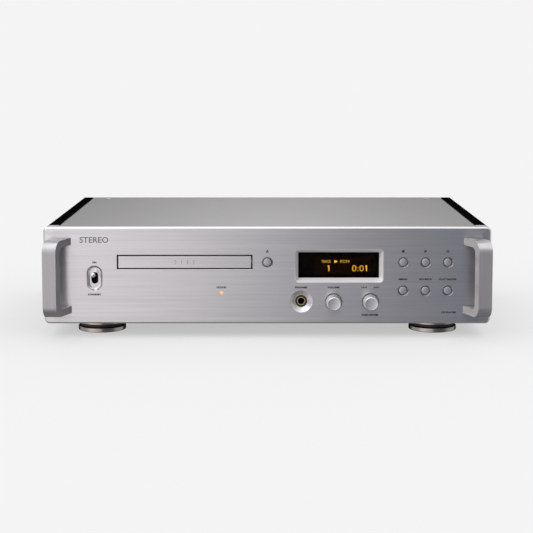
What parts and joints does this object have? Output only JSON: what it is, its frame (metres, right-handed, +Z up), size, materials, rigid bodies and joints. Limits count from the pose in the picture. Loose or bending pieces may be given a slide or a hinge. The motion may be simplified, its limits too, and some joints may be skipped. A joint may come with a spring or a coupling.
{
  "type": "cd player",
  "caption": "Full-width hi-fi disc player with a drawer tray, display, knobs, push buttons, rack handles, clamping disc drive and rear sockets.",
  "frame": {"origin": "centre of the overall footprint, on the surface that the feet stand on", "axes": "+Z up, the front panel faces -Y, +X is to the right seen from the front"},
  "size_m": [0.444, 0.3334, 0.111],
  "materials": {
    "brushed_silver": "brushed and anodised",
    "black_metal": "satin black",
    "black_plastic": "matte",
    "dark_nickel": "turned and plated",
    "plated_steel": "zinc-plated",
    "polished_chrome": "polished",
    "white_nylon": "moulded",
    "black_rubber": "matte",
    "circuit_board": "solder mask",
    "transformer_tape": "taped winding",
    "smoked_window": "polished and smoked",
    "amber_light": "lit"
  },
  "bodies": {
    "player": {"front_panel": "brushed_silver", "handle_left": "brushed_silver", "handle_right": "brushed_silver", "top_plate": "brushed_silver", "side_panel_left": "black_metal", "side_panel_right": "black_metal", "bottom_plate": "black_metal", "rear_panel": "black_metal", "toggle_switch": "black_plastic", "display_module": "black_plastic", "headphone_jack": "black_plastic", "ac_inlet": "black_plastic", "xlr_output_left": "black_plastic", "xlr_output_right": "black_plastic", "analog_jacks": "black_plastic", "digital_jacks": "black_plastic", "foot_flange_front_left": "dark_nickel", "foot_cup_front_left": "dark_nickel", "foot_flange_front_right": "dark_nickel", "foot_cup_front_right": "dark_nickel", "foot_flange_rear_left": "dark_nickel", "foot_cup_rear_left": "dark_nickel", "foot_flange_rear_right": "dark_nickel", "foot_cup_rear_right": "dark_nickel", "mech_frame": "plated_steel", "loading_motor": "plated_steel", "clamp_bridge": "plated_steel", "spindle_motor": "plated_steel", "usb_port": "plated_steel", "clock_input": "plated_steel", "drive_belt": "black_rubber", "control_board": "circuit_board", "main_board": "circuit_board", "power_board": "circuit_board", "transformer": "transformer_tape", "display_window": "smoked_window", "clock_led": "amber_light"},
    "tray": {"tray_front": "brushed_silver", "disc_tray": "black_plastic"},
    "loading_gear": {"loading_gear": "white_nylon"},
    "motor_pulley": {"motor_pulley": "white_nylon"},
    "turntable": {"turntable": "brushed_silver"},
    "traverse": {"traverse_plate": "plated_steel", "guide_rod_left": "plated_steel", "guide_rod_right": "plated_steel", "sled_motor": "plated_steel"},
    "pickup": {"pickup": "white_nylon"},
    "sled_gear": {"sled_gear": "white_nylon"},
    "clamper": {"clamper": "black_rubber"},
    "toggle_lever": {"toggle_lever": "polished_chrome"},
    "volume_knob": {"volume_knob": "brushed_silver"},
    "skip_shaft": {"skip_shaft": "plated_steel"},
    "skip_knob": {"skip_knob": "brushed_silver"},
    "eject_button": {"eject_button": "brushed_silver"},
    "stop_button": {"stop_button": "brushed_silver"},
    "play_button": {"play_button": "brushed_silver"},
    "pause_button": {"pause_button": "brushed_silver"},
    "menu_button": {"menu_button": "brushed_silver"},
    "source_button": {"source_button": "brushed_silver"},
    "play_mode_button": {"play_mode_button": "brushed_silver"}
  },
  "joints": [
    {"name": "tray_slide", "type": "slide", "parent": "player", "child": "tray", "axis": [0, -1, 0], "range_m": [0, 0.145]},
    {"name": "loading_gear_spin", "type": "hinge", "parent": "player", "child": "loading_gear", "pos_m": [-0.1203, -0.098, 0.0725], "axis": [0, 0, 1], "range_deg": [-1, 711]},
    {"name": "motor_pulley_spin", "type": "hinge", "parent": "player", "child": "motor_pulley", "pos_m": [-0.0783, -0.098, 0.0645], "axis": [0, 0, 1], "range_deg": [-1, 2487]},
    {"name": "turntable_spin", "type": "hinge", "parent": "player", "child": "turntable", "pos_m": [-0.082, -0.055, 0.0865], "axis": [0, 0, 1], "continuous": true},
    {"name": "traverse_lift", "type": "slide", "parent": "player", "child": "traverse", "axis": [0, 0, 1], "range_m": [0, 0.0078]},
    {"name": "pickup_slide", "type": "slide", "parent": "traverse", "child": "pickup", "axis": [0, 1, 0], "range_m": [0, 0.033]},
    {"name": "sled_gear_spin", "type": "hinge", "parent": "traverse", "child": "sled_gear", "pos_m": [-0.0473, -0.022, 0.05675], "axis": [0, 0, 1], "range_deg": [-263, 1]},
    {"name": "clamper_spin", "type": "hinge", "parent": "traverse", "child": "clamper", "pos_m": [-0.082, -0.055, 0.073], "axis": [0, 0, 1], "continuous": true},
    {"name": "toggle_lever_tilt", "type": "hinge", "parent": "player", "child": "toggle_lever", "pos_m": [-0.1717, -0.12675, 0.0596], "axis": [1, 0, 0], "range_deg": [0, 30]},
    {"name": "volume_knob_spin", "type": "hinge", "parent": "player", "child": "volume_knob", "pos_m": [0.0658, -0.13475, 0.0362], "axis": [0, 1, 0], "continuous": true},
    {"name": "enter_push", "type": "slide", "parent": "player", "child": "skip_shaft", "axis": [0, 1, 0], "range_m": [0, 0.0008], "stiffness_N_per_m": 2500, "springref_m": -0.0004},
    {"name": "skip_knob_spin", "type": "hinge", "parent": "skip_shaft", "child": "skip_knob", "pos_m": [0.1025, -0.13475, 0.0362], "axis": [0, 1, 0], "continuous": true},
    {"name": "eject_press", "type": "slide", "parent": "player", "child": "eject_button", "axis": [0, 1, 0], "range_m": [0, 0.0012], "stiffness_N_per_m": 800, "springref_m": -0.0006},
    {"name": "stop_press", "type": "slide", "parent": "player", "child": "stop_button", "axis": [0, 1, 0], "range_m": [0, 0.0012], "stiffness_N_per_m": 800, "springref_m": -0.0006},
    {"name": "play_press", "type": "slide", "parent": "player", "child": "play_button", "axis": [0, 1, 0], "range_m": [0, 0.0012], "stiffness_N_per_m": 800, "springref_m": -0.0006},
    {"name": "pause_press", "type": "slide", "parent": "player", "child": "pause_button", "axis": [0, 1, 0], "range_m": [0, 0.0012], "stiffness_N_per_m": 800, "springref_m": -0.0006},
    {"name": "menu_press", "type": "slide", "parent": "player", "child": "menu_button", "axis": [0, 1, 0], "range_m": [0, 0.0012], "stiffness_N_per_m": 800, "springref_m": -0.0006},
    {"name": "source_press", "type": "slide", "parent": "player", "child": "source_button", "axis": [0, 1, 0], "range_m": [0, 0.0012], "stiffness_N_per_m": 800, "springref_m": -0.0006},
    {"name": "play_mode_press", "type": "slide", "parent": "player", "child": "play_mode_button", "axis": [0, 1, 0], "range_m": [0, 0.0012], "stiffness_N_per_m": 800, "springref_m": -0.0006}
  ],
  "couplings": [
    {"joint": "loading_gear_spin", "follows": "tray_slide", "rad_per_m": 85.47},
    {"joint": "motor_pulley_spin", "follows": "tray_slide", "rad_per_m": 299.15},
    {"joint": "sled_gear_spin", "follows": "pickup_slide", "rad_per_m": -138.89},
    {"joint": "clamper_spin", "follows": "turntable_spin", "ratio": 1}
  ]
}
